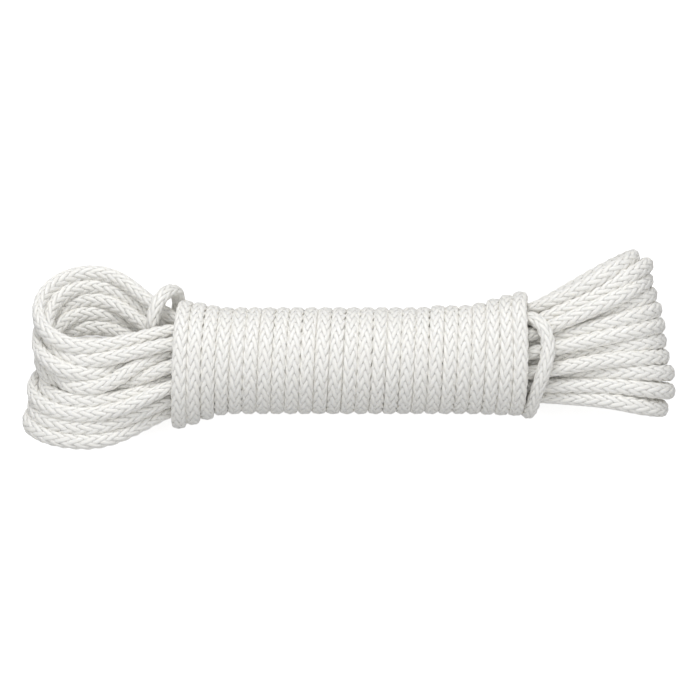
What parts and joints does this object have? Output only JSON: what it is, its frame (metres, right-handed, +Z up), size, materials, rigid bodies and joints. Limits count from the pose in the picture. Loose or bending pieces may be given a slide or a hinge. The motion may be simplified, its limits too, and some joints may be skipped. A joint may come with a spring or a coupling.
{
  "type": "coiled dock line",
  "caption": "Braided white dock line made up as a hank: long turns with an open eye at one end and fanned folds at the other, bound round the waist by the rope's own working end.",
  "frame": {"origin": "on the surface it lies on, under the middle of the whole hank's box", "axes": "+X along the hank from the eye of loops towards the fan of folds, +Y towards the side where the low runs of the eye lie, +Z up from the surface"},
  "size_m": [0.455, 0.1332, 0.0745],
  "materials": {
    "rope": "satin braided filament",
    "sealed_end": "melted and smooth"
  },
  "bodies": {
    "root": {"hank_turn_01": "rope", "hank_turn_02": "rope", "hank_turn_03": "rope", "hank_turn_04": "rope", "hank_turn_05": "rope", "hank_turn_06": "rope", "hank_turn_07": "rope", "hank_turn_08": "rope", "hank_turn_09": "rope", "hank_turn_10": "rope", "hank_turn_11": "rope", "lead_in_turn": "rope", "wraps_left": "rope", "wraps_middle": "rope", "wraps_right": "rope", "locking_turn": "rope", "tucked_tail": "rope", "standing_end_seal": "sealed_end", "working_end_seal": "sealed_end"}
  },
  "joints": []
}
